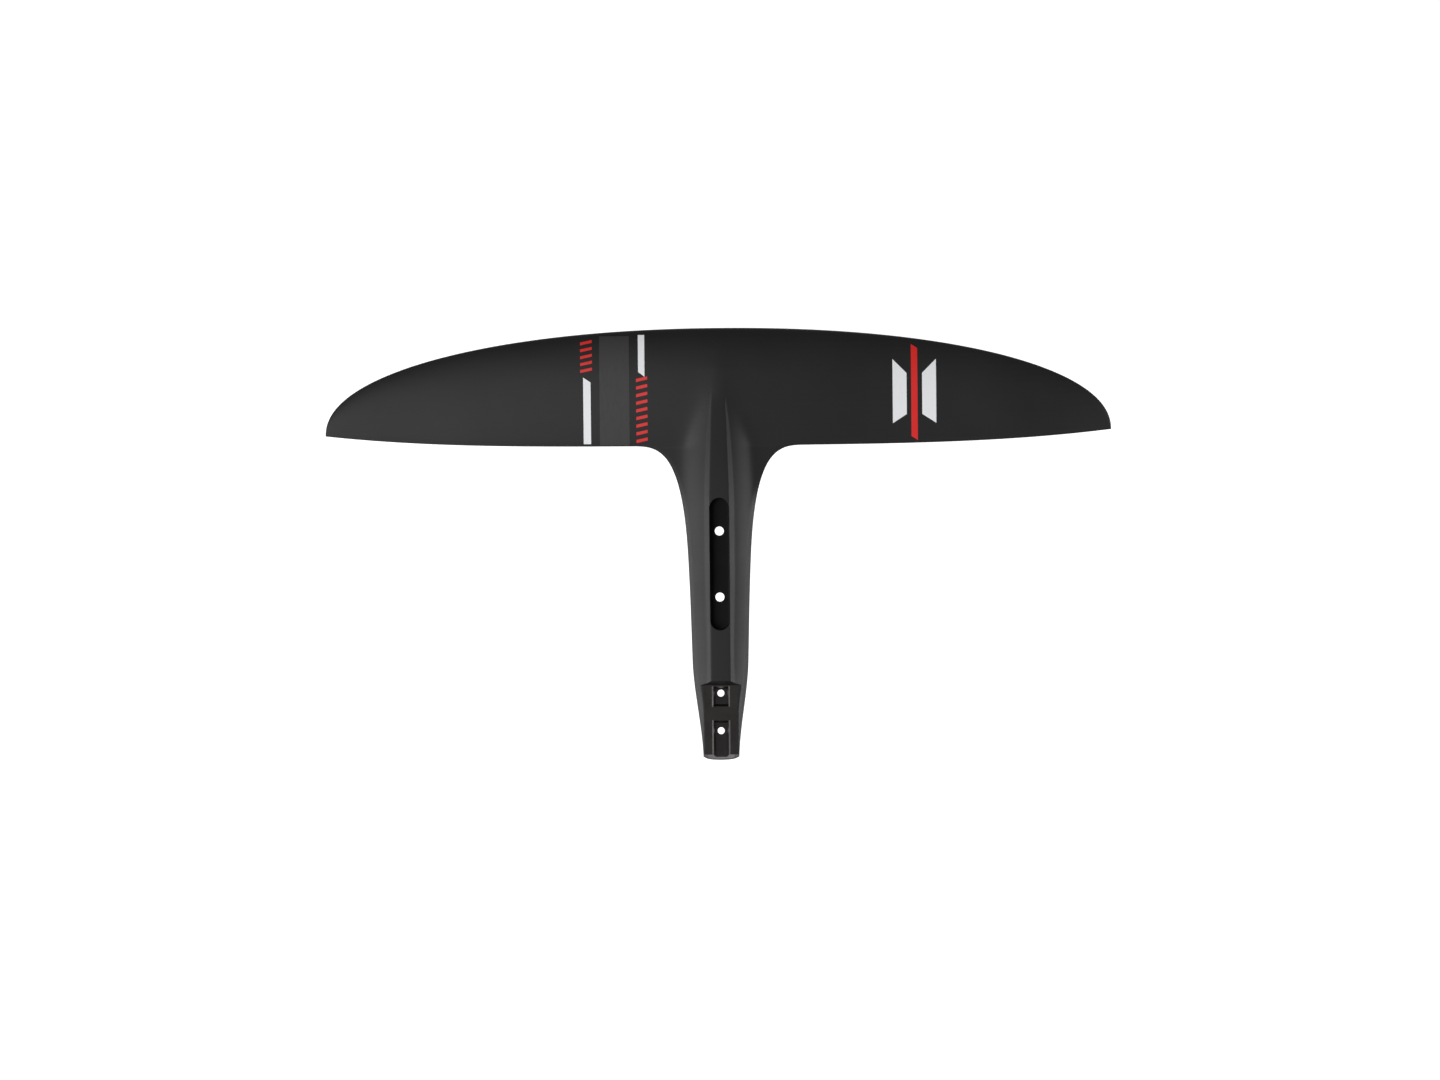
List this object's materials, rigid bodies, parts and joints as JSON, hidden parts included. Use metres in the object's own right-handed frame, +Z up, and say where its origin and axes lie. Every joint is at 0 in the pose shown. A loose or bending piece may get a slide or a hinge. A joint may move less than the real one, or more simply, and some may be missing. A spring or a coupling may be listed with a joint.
{
  "type": "hydrofoil front wing with integrated fuselage",
  "caption": "Black laminate hydrofoil wing moulded in one with a half fuselage that has a long mast socket and a stepped tail coupling.",
  "frame": {"origin": "on the floor of the mast pocket, half way between the two mast bolts", "axes": "+X along the span to the right wing tip, +Y forward to the leading edge, +Z up towards the mast"},
  "size_m": [0.7848, 0.4318, 0.0342],
  "materials": {
    "carbon_skin": "matt black lacquer over carbon laminate",
    "carbon_beam": "raw carbon laminate",
    "web_foam": "dense structural foam",
    "core_foam": "closed-cell foam",
    "dense_core": "compressed fibre block",
    "socket_liner": "black composite, satin",
    "block_laminate": "machined black laminate, satin",
    "sleeve_steel": "turned stainless steel",
    "white_film": "white film under lacquer",
    "red_film": "red film under lacquer",
    "grey_film": "dark grey film under lacquer"
  },
  "bodies": {
    "root": {"upper_skin": "carbon_skin", "lower_skin": "carbon_skin", "leading_edge_filler": "carbon_beam", "upper_spar_cap": "carbon_beam", "lower_spar_cap": "carbon_beam", "spar_web": "web_foam", "mast_block": "dense_core", "fuselage_nose_core": "core_foam", "left_front_core": "core_foam", "right_front_core": "core_foam", "left_rear_core": "core_foam", "right_rear_core": "core_foam", "mast_socket_liner": "socket_liner", "tail_block": "block_laminate", "front_mast_bolt_sleeve": "sleeve_steel", "rear_mast_bolt_sleeve": "sleeve_steel", "front_tail_bolt_sleeve": "sleeve_steel", "rear_tail_bolt_sleeve": "sleeve_steel", "outer_white_bar": "white_film", "inner_white_bar": "white_film", "emblem_white": "white_film", "outer_red_marks": "red_film", "inner_red_marks": "red_film", "emblem_red": "red_film", "grey_band": "grey_film"}
  },
  "joints": []
}
